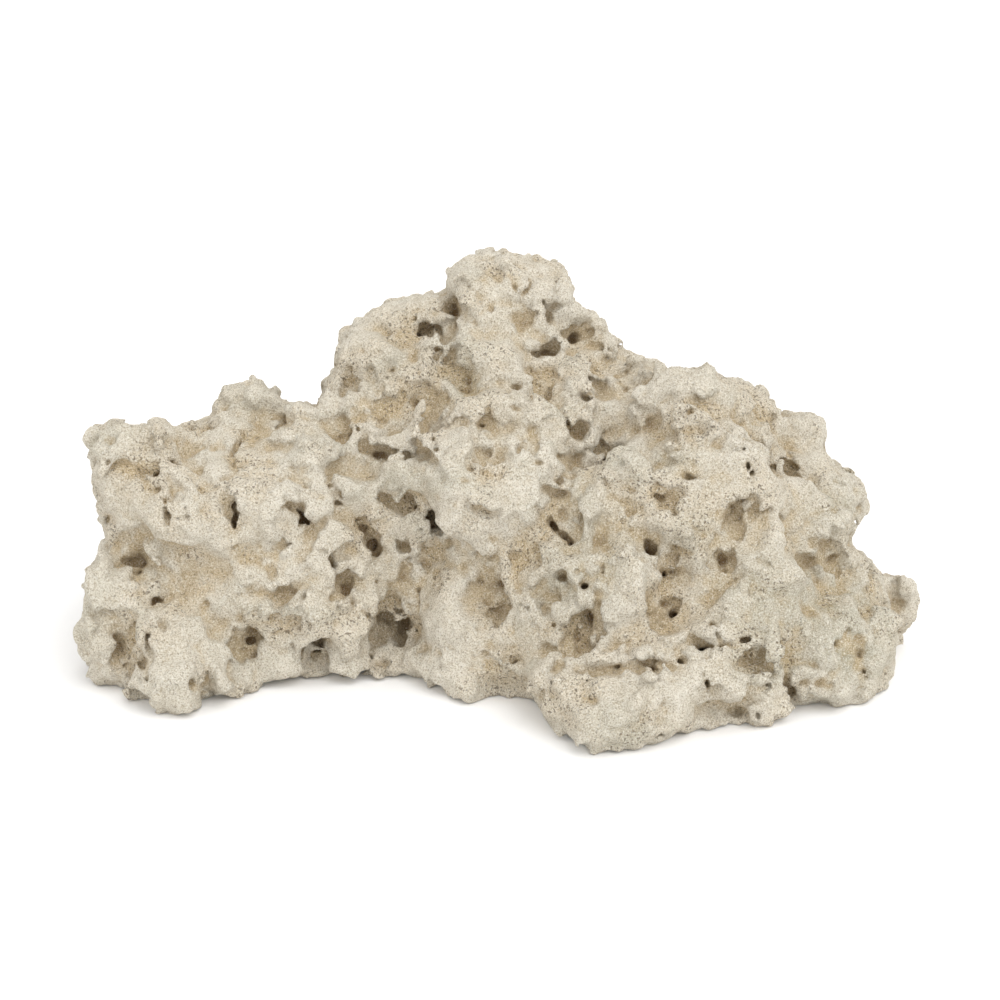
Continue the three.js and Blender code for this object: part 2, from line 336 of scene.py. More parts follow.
# Knobs, the same way, with height in place of depth
KNOBS = [
    (110, 430, 20, 12, 0, 3), (155, 432, 14, 10, 0, 2), (245, 395, 28, 16, 0, 3),
    (300, 412, 10, 10, 0, 2), (225, 612, 34, 14, 0, 2.5), (180, 640, 26, 24, 0, 4),
    (90, 610, 14, 30, 0, 3), (270, 660, 26, 14, 0, 2), (215, 480, 30, 14, 0, 2),
    (270, 470, 24, 14, 0, 2.5), (350, 495, 18, 12, 0, 2), (345, 650, 12, 12, 0, 2.5),
    (430, 565, 20, 22, 0, 3), (440, 620, 24, 26, 0, 3.5), (530, 630, 24, 22, 0, 3),
    (520, 670, 30, 14, 0, 3), (470, 690, 22, 12, 0, 3), (500, 500, 28, 18, 0, 4),
    (440, 530, 20, 10, 0, 3), (450, 475, 30, 12, 0, 2.5), (480, 350, 26, 12, 0, 3.5),
    (500, 385, 22, 18, 0, 3), (510, 265, 40, 12, 0, 3), (370, 350, 24, 20, 0, 3),
    (555, 470, 18, 10, 0, 3), (545, 420, 20, 8, 0, 2), (610, 540, 20, 22, 0, 3.5),
    (640, 580, 22, 18, 0, 3), (620, 610, 20, 14, 0, 2), (640, 460, 24, 16, 0, 3),
    (620, 420, 18, 12, 0, 2), (690, 390, 20, 14, 0, 3), (735, 395, 20, 12, 0, 3),
    (700, 600, 20, 18, 0, 3), (665, 640, 20, 6, 0, 3), (705, 630, 8, 12, 0, 2),
    (765, 600, 28, 26, 0, 3.5), (790, 500, 20, 14, 0, 3), (815, 425, 14, 12, 0, 3),
    (790, 580, 26, 10, 0, 3), (850, 600, 22, 22, 0, 3), (690, 690, 34, 12, 0, 4),
    (620, 715, 40, 22, 0, 4), (740, 680, 20, 12, 0, 2), (800, 700, 24, 10, 0, 2.5),
    (880, 650, 10, 20, 0, 2), (650, 520, 14, 10, 0, 2.5), (755, 560, 20, 14, 0, 2.5),
    (770, 714, 28, 14, 0, 6), (845, 696, 36, 16, 0, 9), (700, 722, 34, 14, 0, 6),
    (180, 702, 30, 14, 0, 7), (465, 695, 24, 14, 0, 7), (885, 668, 16, 26, 0, 7),
    (250, 688, 18, 12, 0, 6), (620, 742, 44, 12, 0, 4), (462, 276, 16, 16, 0, 7),
    (300, 668, 40, 10, 0, 3),
]

# Places where the skin is smoother, the same way, with the share of its flakes that is gone
CALM = [
    (235, 562, 80, 34, 0, 0.8), (190, 640, 40, 30, 0, 0.6), (290, 470, 50, 20, 0, 0.4),
    (470, 610, 50, 60, 0, 0.5), (740, 515, 34, 26, 0, 0.5), (480, 385, 24, 40, 0, 0.5),
    (690, 690, 50, 20, 0, 0.5), (560, 510, 20, 30, 0, 0.6), (800, 600, 70, 50, 0, 0.4),
    (620, 600, 30, 60, 0, 0.4), (500, 500, 50, 24, 0, 0.5), (620, 720, 60, 24, 0, 0.4),
    (420, 600, 30, 50, 0, 0.4),
]

# Grey-green stains, the same way, with how strong they are; some of them, such as the facet at (468,
# 385) that faces away from the light, are painted shade
STAINS_AND_SHADE = [
    (830, 610, 60, 60, 0, 0.8), (750, 595, 40, 44, 0, 0.7), (690, 530, 30, 30, 0, 0.4),
    (602, 560, 34, 44, 0, 0.6), (560, 590, 24, 40, 0, 0.5), (110, 435, 24, 16, 0, 0.6),
    (250, 400, 30, 20, 0, 0.5), (468, 385, 18, 36, -25, 0.9), (480, 270, 20, 10, 0, 0.4),
    (680, 460, 24, 14, 0, 0.5), (620, 740, 50, 20, 0, 0.5), (100, 600, 20, 40, 0, 0.5),
    (250, 650, 40, 24, 0, 0.5), (865, 650, 36, 40, 0, 0.7), (400, 480, 40, 14, 0, 0.3),
    (838, 500, 30, 30, 0, 0.7), (320, 440, 30, 16, 0, 0.4), (580, 500, 14, 30, 10, 0.5),
    (780, 660, 50, 24, 0, 0.6), (160, 690, 40, 16, 0, 0.4),
]


class Block:
    """A box of numbers over the stone, spaced evenly in millimetres."""

    def __init__(self, low, step, values):
        self.low = np.asarray(low, float)
        self.step = step
        self.values = values

    def at(self, points):
        """The values at points, by linear interpolation."""
        place = (np.atleast_2d(points) - self.low) / self.step
        limit = np.array(self.values.shape) - 1.001
        place = np.clip(place, 0, limit)
        base = place.astype(np.int32)
        part = (place - base).astype(np.float32)
        total = np.zeros(len(place), np.float32)
        for corner in np.ndindex(2, 2, 2):
            weight = np.ones(len(place), np.float32)
            for axis in range(3):
                weight *= part[:, axis] if corner[axis] else 1 - part[:, axis]
            i, j, k = (base + corner).T
            total += weight * self.values[i, j, k]
        return total

    def window(self, centre, reach):
        """The slices round a point, and the offsets from it along x, y and z."""
        first = np.floor((centre - reach - self.low) / self.step).astype(int)
        last = np.ceil((centre + reach - self.low) / self.step).astype(int) + 1
        first = np.clip(first, 0, self.values.shape)
        last = np.clip(last, 0, self.values.shape)
        part = tuple(slice(a, b) for a, b in zip(first, last))
        x, y, z = (
            (self.low[n] + self.step * np.arange(first[n], last[n]) - centre[n]).astype(np.float32)
            for n in range(3)
        )
        return part, x[:, None, None], y[None, :, None], z[None, None, :]


def finer(values):
    """The same values at half the spacing."""
    for axis in range(3):
        values = np.moveaxis(values, axis, 0)
        doubled = np.empty((2 * len(values) - 1,) + values.shape[1:], np.float32)
        doubled[::2] = values
        doubled[1::2] = (values[1:] + values[:-1]) / 2
        values = np.moveaxis(doubled, 0, axis)
    return np.ascontiguousarray(values)


def blur(values, sigma):
    """A soft average over sigma cells."""
    reach = int(math.ceil(2.5 * sigma))
    taps = np.exp(-0.5 * (np.arange(-reach, reach + 1) / sigma) ** 2)
    taps /= taps.sum()
    for axis in range(3):
        padding = [(reach, reach) if n == axis else (0, 0) for n in range(3)]
        padded = np.pad(values, padding, mode="edge")
        total = np.zeros(values.shape, np.float32)
        for k, tap in enumerate(taps):
            part = [slice(None)] * 3
            part[axis] = slice(k, k + values.shape[axis])
            total += np.float32(tap) * padded[tuple(part)]
        values = total
    return values


def soft_noise(shape, cells, random):
    """Smooth noise of about -2 to 2 whose bumps are cells wide."""
    lattice = [int(n / cells) + 5 for n in shape]
    values = random.uniform(-1, 1, lattice).astype(np.float32)
    for axis, count in enumerate(shape):
        place = np.arange(count) / cells + 1
        base = place.astype(int)
        t = place - base
        weights = (
            (1 - t) ** 3 / 6,
            (3 * t**3 - 6 * t**2 + 4) / 6,
            (-3 * t**3 + 3 * t**2 + 3 * t + 1) / 6,
            t**3 / 6,
        )
        spread = [1, 1, 1]
        spread[axis] = count
        values = sum(
            np.take(values, base + k - 1, axis=axis) * weight.astype(np.float32).reshape(spread)
            for k, weight in enumerate(weights)
        )
    return values / values.std()


def cad_mesh(node):
    """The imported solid's points in millimetres, and its triangles."""
    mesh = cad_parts[node].data
    points = np.empty(len(mesh.vertices) * 3, np.float32)
    mesh.vertices.foreach_get("co", points)
    mesh.calc_loop_triangles()
    corners = np.empty(len(mesh.loop_triangles) * 3, np.int32)
    mesh.loop_triangles.foreach_get("vertices", corners)
    points = np.round(points.reshape(-1, 3) / MM, 3)
    joined, index = np.unique(points, axis=0, return_inverse=True)
    triangles = index.reshape(-1)[corners].reshape(-1, 3)
    a, b, c = triangles.T
    return joined, triangles[(a != b) & (b != c) & (a != c)].astype(np.uint32)


def stone_block():
    """Distance to the CAD solid's skin, below zero inside it."""
    points, triangles = cad_mesh(NODE)
    low = np.floor((points.min(0) - MARGIN) / COARSE).astype(int)
    high = np.ceil((points.max(0) + MARGIN) / COARSE).astype(int)
    spacing = vdb.createLinearTransform(voxelSize=COARSE)
    level = vdb.FloatGrid.createLevelSetFromPolygons(
        points, triangles=triangles, transform=spacing, halfWidth=BAND / COARSE
    )
    values = np.empty(tuple(high - low + 1), np.float32)
    level.copyToArray(values, ijk=tuple(int(n) for n in low))
    return Block(low * COARSE, COARSE, values)


def closed(block, reach):
    """The block with every hole and groove narrower than twice the reach filled."""
    grid = vdb.FloatGrid(float(BAND))
    grid.copyFromArray(block.values)
    points, quads = grid.convertToQuads(reach)
    cells = vdb.createLinearTransform(voxelSize=1.0)
    level = vdb.FloatGrid.createLevelSetFromPolygons(
        points, quads=quads, transform=cells, halfWidth=BAND / block.step
    )
    values = np.empty(block.values.shape, np.float32)
    level.copyToArray(values)
    return Block(block.low, block.step, values * block.step + reach)


def bent(block, random):
    """The block with its space pushed about, so that no lobe stays round."""
    values = blur(block.values, 1.6 / COARSE)
    shape = values.shape
    grid = np.stack(np.meshgrid(*(np.arange(n) for n in shape), indexing="ij"), -1).reshape(-1, 3)
    points = (block.low + grid * COARSE).astype(np.float32)
    for wavelength, push in BEND:
        for axis in range(3):
            shift = soft_noise(shape, wavelength / 2 / COARSE, random)
            points[:, axis] += push * shift.reshape(-1)
    smooth = Block(block.low, COARSE, values)
    return Block(block.low, COARSE, smooth.at(points).reshape(shape))


def extend_feet(block):
    """Carries the stone on below the floor, so that the later cut leaves crisp feet."""
    lowest = int(math.ceil((FOOT - block.low[2]) / block.step))
    block.values[:, :, :lowest] = block.values[:, :, lowest : lowest + 1]


def outline_distance(places):
    """How far pixels are outside the outline, below zero inside it."""
    ends = np.array(OUTLINE, float)
    nearest = np.full(len(places), 1e9)
    inside = np.zeros(len(places), bool)
    for a, b in zip(ends, np.roll(ends, -1, axis=0)):
        along = b - a
        share = np.clip((places - a) @ along / (along @ along), 0, 1)
        away = np.linalg.norm(places - a - share[:, None] * along, axis=1)
        nearest = np.minimum(nearest, away)
        crosses = (a[1] > places[:, 1]) != (b[1] > places[:, 1])
        if a[1] != b[1]:
            edge = a[0] + (places[:, 1] - a[1]) * along[0] / along[1]
            inside ^= crosses & (places[:, 0] < edge)
    return np.where(inside, -nearest, nearest)


def trim_to_outline(block):
    """Cuts off what the camera would see outside the photograph's outline."""
    ticks = np.arange(0, PICTURE + OUTLINE_STEP, OUTLINE_STEP, dtype=float)
    places = np.stack(np.meshgrid(ticks, ticks, indexing="ij"), -1).reshape(-1, 2)
    outside = outline_distance(places).reshape(len(ticks), len(ticks), 1).astype(np.float32)
    picture = Block((0, 0, 0), OUTLINE_STEP, np.repeat(outside, 2, axis=2))
    grid = np.stack(np.meshgrid(*(np.arange(n) for n in block.values.shape), indexing="ij"), -1)
    offset = block.low + grid.reshape(-1, 3) * block.step - EYE
    ahead = -offset @ BACKWARD
    x = PICTURE / 2 + FOCAL * (offset @ RIGHTWARD) / ahead
    y = PICTURE / 2 - FOCAL * (offset @ UPWARD) / ahead
    outside = picture.at(np.stack([x, y, np.zeros(len(x))], 1)) * (ahead / FOCAL).astype(np.float32)
    outside = outside.reshape(block.values.shape)
    blend = np.clip(TRIM_ROUNDING - np.abs(block.values - outside), 0, None)
    block.values = np.maximum(block.values, outside) + blend**2 / (4 * TRIM_ROUNDING)


def relief(block, sizes, random):
    """Natural bumps at every size, with sharper crests than hollows."""
    for wavelength, height in sizes:
        noise = soft_noise(block.values.shape, wavelength / 2 / block.step, random)
        crest = 1.4 * (0.8 - np.abs(noise))
        block.values -= height * (0.5 * noise + 0.5 * crest)


def add_flakes(block, calm, size, tilt, step, crevice, share, skin, random):
    """Breaks the skin into tilted flakes with crevices between them, less where it is calm."""
    near = np.nonzero(np.abs(block.values) < skin)
    place = np.stack(near, 1).astype(np.float32)
    worn = np.clip(0.8 + 0.3 * soft_noise(block.values.shape, 14 / block.step, random)[near], 0.3, 1.2)
    worn *= calm.at(block.low + place * block.step)
    place *= np.float32(block.step / size)
    for axis in range(3):
        warp = soft_noise(block.values.shape, 0.5 * size / block.step, random)
        place[:, axis] += 0.13 * warp[near]
    table = np.concatenate([
        random.uniform(0.1, 0.9, (FLAKE_KINDS**3, 3)),
        random.normal(0, tilt * size, (FLAKE_KINDS**3, 3)),
        random.normal(0, step, (FLAKE_KINDS**3, 1)),
    ], 1).astype(np.float32)
    cell = np.floor(place).astype(np.int32)
    nearest = np.full(len(place), 9.0, np.float32)
    second = nearest.copy()
    push = np.zeros(len(place), np.float32)
    for offset in np.ndindex(3, 3, 3):
        other = cell + np.array(offset, np.int32) - 1
        i, j, k = (other % FLAKE_KINDS).T
        flake = table[(i * FLAKE_KINDS + j) * FLAKE_KINDS + k]
        away = place - other - flake[:, :3]
        distance = np.einsum("na,na->n", away, away)
        closer = distance < nearest
        second = np.where(closer, nearest, np.minimum(second, distance))
        nearest = np.where(closer, distance, nearest)
        push = np.where(closer, flake[:, 6] + np.einsum("na,na->n", away, flake[:, 3:6]), push)
    gap = np.clip((np.sqrt(second) - np.sqrt(nearest)) / share, 0, 1)
    block.values[near] -= worn * (push - crevice * (1 - gap) ** 2)


def ray(x, y):
    """Direction of the camera's ray through a pixel of the photograph."""
    right = (x - PICTURE / 2) / FOCAL
    up = (PICTURE / 2 - y) / FOCAL
    direction = RIGHTWARD * right + UPWARD * up - BACKWARD
    return direction / np.linalg.norm(direction)


def surface_under(block, x, y):
    """The stone's point seen at a pixel, its distance and the ray, or None if the ray misses."""
    direction = ray(x, y)
    reach = np.arange(DISTANCE - RAY_SEARCH, DISTANCE + RAY_SEARCH, block.step / 2)
    points = EYE + direction * reach[:, None]
    inside = np.nonzero(block.at(points) < 0)[0]
    if len(inside) == 0:
        return None
    return points[inside[0]], reach[inside[0]], direction


def photo_axes(direction, turn):
    """Unit vectors across, up and along the view, with the first two turned."""
    direction = direction / np.linalg.norm(direction)
    across = np.cross(direction, UPWARD)
    across /= np.linalg.norm(across)
    up = np.cross(across, direction)
    angle = math.radians(turn)
    turned = math.cos(angle) * up + math.sin(angle) * across
    side = math.cos(angle) * across - math.sin(angle) * up
    return side, turned, direction


def ellipsoid(x, y, z, axes, radii):
    """How many radii each offset is from the middle."""
    total = 0
    for axis, radius in zip(axes, radii):
        total = total + ((x * axis[0] + y * axis[1] + z * axis[2]) / radius) ** 2
    return np.sqrt(total)


def carve(block, wobble, centre, axes, radii, ragged):
    """Cuts a rough-walled pit."""
    part, x, y, z = block.window(centre, 1.35 * max(radii) + 2)
    small = min(radii)
    skin = (ellipsoid(x, y, z, axes, radii) - 1) * small
    skin = skin + min(ragged * small, 3 * ragged) * wobble[part]
    values = block.values[part]
    np.maximum(values, -skin, out=values)


def swell(block, centre, axes, radii, height):
    """Raises a soft knob, or sinks a soft hollow where height is below zero."""
    part, x, y, z = block.window(centre, 2.2 * max(radii))
    block.values[part] -= height * np.exp(-ellipsoid(x, y, z, axes, radii) ** 2)


def add_photo_relief(block, features, sign, target=None):
    """Raises or sinks the places seen at those pixels, in the block or in the target's numbers."""
    for x, y, half_width, half_height, turn, height in features:
        found = surface_under(block, x, y)
        if found is None:
            continue
        centre, distance, direction = found
        scale = distance / FOCAL
        radii = (half_width * scale, half_height * scale, max(half_width, half_height) * scale + 6)
        swell(target or block, centre, photo_axes(direction, turn), radii, sign * height)


def all_holes():
    """Every region's holes in one list."""
    return [hole for region in HOLES.values() for hole in region]


def add_scoops(block, wobble):
    """Scoops out wide hollows with a crisp rim."""
    for x, y, half_width, half_height, turn, stand_off in SCOOPS:
        found = surface_under(block, x, y)
        if found is None:
            continue
        centre, distance, direction = found
        scale = SCOOP_WIDENING * distance / FOCAL
        radii = (half_width * scale, half_height * scale, SCOOP_LENGTH * stand_off)
        axes = photo_axes(direction, turn)
        carve(block, wobble, centre - stand_off * direction, axes, radii, SCOOP_RAGGED)


def add_photo_holes(block, wobble, random):
    """Cuts the photograph's holes, all placed on the skin as it was before the first of them."""
    holes = all_holes()
    places = [surface_under(block, x, y) for x, y, *_ in holes]
    for (x, y, half_width, half_height, turn, depth), found in zip(holes, places):
        jog = random.uniform(-JOG, JOG, 3)
        if found is None:
            continue
        centre, distance, direction = found
        scale = distance / FOCAL
        axes = photo_axes(direction + PLUNGE, turn)
        openness = float(np.clip((DEEP_HOLE - depth) / (DEEP_HOLE - SHALLOW_HOLE), 0, 1))
        width = (1 + OPEN_WIDENING * openness) * scale
        radii = (half_width * width, half_height * width, depth)
        centre = centre - OPEN_LIFT * openness * depth * direction
        carve(block, wobble, centre, axes, radii, HOLE_RAGGED)
        beside = centre + jog[0] * radii[0] * axes[0] + jog[1] * radii[1] * axes[1]
        rim = (RIM_WIDTH * radii[0], RIM_WIDTH * radii[1], RIM_DEPTH * depth)
        carve(block, wobble, beside, axes, rim, PIT_RAGGED)


def seen_in_photo(block, points):
    """True where nothing of the stone is between a point and the camera."""
    open_way = np.ones(len(points), bool)
    direction = EYE - points
    direction /= np.linalg.norm(direction, axis=1, keepdims=True)
    for reach in SIGHT_STEPS:
        open_way &= block.at(points + direction * reach) > -0.5
    return open_way


def skin_points(block, count, random):
    """Random points on the skin, and the way out of the stone at each."""
    near = np.argwhere(np.abs(block.values) < 0.4 * block.step)
    chosen = near[random.choice(len(near), count, replace=False)]
    points = block.low + chosen * block.step
    out = np.stack(
        [block.at(points + step) - block.at(points - step) for step in 1.5 * np.eye(3)], 1
    )
    out /= np.linalg.norm(out, axis=1, keepdims=True) + 1e-6
    return points, out


def add_pores(block, wobble, count, smallest, largest, random):
    """Scatters pits, many small and few large, where the photograph doesn't show the stone."""
    points, out = skin_points(block, count, random)
    seen = seen_in_photo(block, points + 2 * out)
    for n in range(count):
        share = random.random() ** 2.6
        radius = smallest + (largest - smallest) * share
        stretch = random.uniform(0.7, 1.5, 3)
        lean = random.normal(0, 0.45, 3)
        if seen[n]:
            continue
        inward = -out[n] + lean
        inward /= np.linalg.norm(inward)
        side = np.cross(inward, RIGHTWARD + 0.01)
        side /= np.linalg.norm(side)
        axes = (side, np.cross(inward, side), inward)
        radii = (radius * stretch[0], radius * stretch[1], radius * (0.8 + stretch[2]))
        carve(block, wobble, points[n] + inward * radius * 0.3, axes, radii, PIT_RAGGED)


def add_cups(block, wobble, calm, count, smallest, largest, random):
    """Wears patches of the skin into shallow cups that overlap and leave crests between them."""
    points, out = skin_points(block, count, random)
    wide = 8
    rough = soft_noise(tuple(n // wide + 2 for n in block.values.shape), 3.5, random)
    patches = Block(block.low, wide * block.step, rough)
    worn = (patches.at(points) > -0.3) & (calm.at(points) > random.uniform(0.3, 1.0, count))
    for n in range(count):
        radius = smallest + (largest - smallest) * random.random() ** 2
        stretch = random.uniform(0.75, 1.35, 3)
        lift = random.uniform(0.62, 0.9)
        outward = out[n] + random.normal(0, 0.3, 3)
        if not worn[n]:
            continue
        outward /= np.linalg.norm(outward)
        side = np.cross(outward, RIGHTWARD + 0.01)
        side /= np.linalg.norm(side)
        axes = (side, np.cross(outward, side), outward)
        middle = points[n] + outward * radius * lift
        carve(block, wobble, middle, axes, radius * stretch, CUP_RAGGED)


def flat_feet(block):
    """Nothing of the stone is below the surface it rests on."""
    height = block.low[2] + block.step * np.arange(block.values.shape[2])
    np.maximum(block.values, -height.astype(np.float32), out=block.values)


def largest_piece(points, faces):
    """The faces that hang together with most others, and their points."""
    label = np.arange(len(points))
    edges = np.concatenate([faces[:, [0, 1]], faces[:, [1, 2]], faces[:, [2, 0]]])
    while True:
        least = np.minimum(label[edges[:, 0]], label[edges[:, 1]])
        before = label.copy()
        np.minimum.at(label, edges[:, 0], least)
        np.minimum.at(label, edges[:, 1], least)
        label = label[label]
        if np.array_equal(before, label):
            break
    main = np.bincount(label).argmax()
    kept = faces[label[faces[:, 0]] == main]
    used, index = np.unique(kept, return_inverse=True)
    return points[used], index.reshape(kept.shape)


def new_mesh(name, points, faces):
    mesh = bpy.data.meshes.new(name)
    mesh.vertices.add(len(points))
    mesh.vertices.foreach_set("co", points.astype(np.float32).reshape(-1))
    sides = faces.shape[1]
    mesh.loops.add(faces.size)
    mesh.loops.foreach_set("vertex_index", faces.astype(np.int32).reshape(-1))
    mesh.polygons.add(len(faces))
    mesh.polygons.foreach_set("loop_start", np.arange(len(faces), dtype=np.int32) * sides)
    mesh.update(calc_edges=True)
    mesh.validate()
    return mesh


def thinned(mesh, faces, kept=None):
    """The mesh with about that many triangles, none of them taken from the kept points."""
    piece = bpy.data.objects.new("thinning", mesh)
    bpy.context.scene.collection.objects.link(piece)
    modifier = piece.modifiers.new("thin", "DECIMATE")
    triangles = len(mesh.loops) - 2 * len(mesh.polygons)
    modifier.ratio = min(1.0, faces / triangles)
    modifier.use_collapse_triangulate = True
    if kept is not None:
        piece.vertex_groups.new(name="free").add(np.nonzero(~kept)[0].tolist(), 1.0, "REPLACE")
        modifier.vertex_group = "free"
    graph = bpy.context.evaluated_depsgraph_get()
    result = bpy.data.meshes.new_from_object(piece.evaluated_get(graph))
    bpy.data.objects.remove(piece)
    points = np.empty(len(result.vertices) * 3, np.float32)
    result.vertices.foreach_get("co", points)
    corners = np.empty(len(result.polygons) * 3, np.int32)
    result.polygons.foreach_get("vertices", corners)
    return points.reshape(-1, 3), corners.reshape(-1, 3)


def hollowness(block, sigma):
    """How far each place is sunk in the stone round it: 0 on a flat skin, about 1 in a pit."""
    solid = (block.values[::2, ::2, ::2] < 0).astype(np.float32)
    step = 2 * block.step
    return Block(block.low, step, 2 * blur(solid, sigma / step) - 1)


def carve_stone():
    """The stone as a block of distances to its skin, below zero inside it."""
    random = np.random.default_rng(SEED)
    coarse = bent(closed(stone_block(), CLOSING), random)
    extend_feet(coarse)
    add_photo_relief(coarse, DENTS, -1)
    add_photo_relief(coarse, KNOBS, 1)
    relief(coarse, RELIEF, random)
    coarse.values -= GAIN
    calm = Block(coarse.low, COARSE, np.ones(coarse.values.shape, np.float32))
    add_photo_relief(coarse, CALM, 1, calm)
    np.maximum(calm.values, LEAST_FLAKES, out=calm.values)
    add_flakes(coarse, calm, *LARGE_FLAKES, random)
    trim_to_outline(coarse)
    block = Block(coarse.low, VOXEL, finer(coarse.values))
    for flakes in SMALL_FLAKES:
        add_flakes(block, calm, *flakes, random)
    block.values = blur(block.values, SOFTEN_FLAKES)
    short, long = (soft_noise(block.values.shape, wave / VOXEL, random) for wave in WOBBLE)
    wobble = (short + long) / 1.4
    add_cups(block, wobble, calm, *CUPS, random)
    add_scoops(block, wobble)
    add_photo_holes(block, wobble, random)
    for pores in PORES:
        add_pores(block, wobble, *pores, random)
    block.values = blur(block.values, SOFTEN_PITS)
    relief(block, GRAIN, random)
    flat_feet(block)
    return block


def tinted_places(block):
    """Where the photograph shows tan deposits and grey-green stains, both partly painted shade, as
    shares from 0 up.
    """
    ochre_and_shade = Block(block.low, COARSE, np.zeros_like(block.values[::2, ::2, ::2]))
    holes = [
        (x, y, OCHRE_AND_SHADE_SPREAD * half_width, OCHRE_AND_SHADE_SPREAD * half_height, turn, HOLE_OCHRE_AND_SHADE)
        for x, y, half_width, half_height, turn, _ in all_holes()
    ]
    hollows = [(*place[:5], HOLLOW_OCHRE_AND_SHADE) for place in DENTS + SCOOPS]
    add_photo_relief(block, holes + hollows, -1, ochre_and_shade)
    stain_and_shade = Block(block.low, COARSE, np.zeros_like(ochre_and_shade.values))
    add_photo_relief(block, STAINS_AND_SHADE, -1, stain_and_shade)
    return {"ochre_and_shade": ochre_and_shade, "stain_and_shade": stain_and_shade}


def store(mesh, name, values):
    """Keeps one number for each point of the mesh, for the material to read."""
    mesh.attributes.new(name, "FLOAT", "POINT").data.foreach_set("value", values)


def stone_piece():
    """The stone's skin as one piece, thinned twice, the second time only where it isn't seen."""
    block = carve_stone()
    grid = vdb.FloatGrid(float(BAND))
    grid.copyFromArray(block.values)
    points, quads = grid.convertToQuads(0.0)
    points = (block.low + points * block.step) * MM
    points, faces = thinned(new_mesh("dense", points, quads), FIRST_FACES)
    points, faces = largest_piece(points, faces)
    seen = seen_in_photo(block, points / MM)
    points, faces = thinned(new_mesh("first", points, faces), FACES, seen)
    mesh = new_mesh("base_rock_surface", points, faces)
    middles = np.empty(3 * len(mesh.polygons), np.float32)
    mesh.polygons.foreach_get("center", middles)
    mesh.polygons.foreach_set("use_smooth", middles[2::3] > FLAT_UNDER * MM)
    places = points / MM
    for name, reach in HOLLOW_REACH.items():
        store(mesh, name, hollowness(block, reach).at(places))
    for name, share in tinted_places(block).items():
        store(mesh, name, np.clip(share.at(places), 0, 1))
    piece = bpy.data.objects.new("base_rock_surface", mesh)
    bpy.context.scene.collection.objects.link(piece)
    return piece


class Nodes:
    """Short calls for building a material."""

    def __init__(self, name):
        self.material = bpy.data.materials.new(name)
        self.material.use_nodes = True
        self.tree = self.material.node_tree
        self.shader = self.tree.nodes["Principled BSDF"]
        self.place = self.tree.nodes.new("ShaderNodeTexCoord").outputs["Object"]

    def node(self, kind, **values):
        node = self.tree.nodes.new(kind)
        for key, value in values.items():
            setattr(node, key, value)
        return node

    def link(self, source, target):
        if hasattr(source, "links"):
            self.tree.links.new(source, target)
        else:
            target.default_value = source

    def noise(self, per_metre, detail=2.0, roughness=0.5):
        node = self.node("ShaderNodeTexNoise")
        self.link(self.place, node.inputs["Vector"])
        node.inputs["Scale"].default_value = per_metre
        node.inputs["Detail"].default_value = detail
        node.inputs["Roughness"].default_value = roughness
        return node.outputs["Fac"]

    def attribute(self, name):
        return self.node("ShaderNodeAttribute", attribute_name=name).outputs["Fac"]

    def ramp(self, value, low, high, out_low=0.0, out_high=1.0):
        node = self.node("ShaderNodeMapRange", interpolation_type="SMOOTHSTEP")
        self.link(value, node.inputs["Value"])
        node.inputs["From Min"].default_value = low
        node.inputs["From Max"].default_value = high
        node.inputs["To Min"].default_value = out_low
        node.inputs["To Max"].default_value = out_high
        return node.outputs["Result"]

    def math(self, operation, a, b):
        node = self.node("ShaderNodeMath", operation=operation)
        self.link(a, node.inputs[0])
        self.link(b, node.inputs[1])
        return node.outputs[0]

    def mix(self, share, a, b):
        node = self.node("ShaderNodeMix", data_type="RGBA")
        self.link(share, node.inputs["Factor"])
        self.link(a, node.inputs["A"])
        self.link(b, node.inputs["B"])
        return node.outputs["Result"]

    def bump(self, height, metres, below=None):
        node = self.node("ShaderNodeBump")
        node.inputs["Strength"].default_value = 1.0
        node.inputs["Distance"].default_value = metres
        self.link(height, node.inputs["Height"])
        if below is not None:
            self.link(below, node.inputs["Normal"])
        return node.outputs["Normal"]


def colour(shade):
    """A shade given as a screen shows it, 0 to 255, in the numbers that a shader takes."""
    def linear(value):
        value /= 255
        return value / 12.92 if value <= 0.04045 else ((value + 0.055) / 1.055) ** 2.4
    return (*(linear(value) for value in shade), 1.0)


def clean_stone(n):
    """Cream with clouds of sand and some warmer patches."""
    shade = n.mix(n.ramp(n.noise(38, 3), 0.35, 0.65), colour(CREAM), colour(SAND))
    warm = n.math("MULTIPLY", n.ramp(n.noise(60, 2), 0.42, 0.62), 0.35)
    return n.mix(warm, shade, colour(WARM))


def stained_and_shaded(n, shade, hollow):
    """Grey-green stains: random ones on raised skin, and those that the photograph shows, some of
    which are painted shade.
    """
    patches = n.ramp(n.noise(52, 4), 0.52, 0.68)
    random_stain = n.math("MULTIPLY", patches, n.ramp(hollow, 0.05, -0.3))
    shade = n.mix(n.math("MULTIPLY", random_stain, 0.45), shade, colour(LICHEN_GREY))
    blotches = n.ramp(n.noise(110, 4, 0.6), 0.3, 0.62, 0.25, 0.9)
    # Placed grey: partly stains, partly painted shade on facets turned from the light.
    placed_stain_and_shade = n.math("MULTIPLY", n.attribute("stain_and_shade"), blotches)
    return n.mix(placed_stain_and_shade, shade, colour(STAIN_AND_SHADE_GREY))


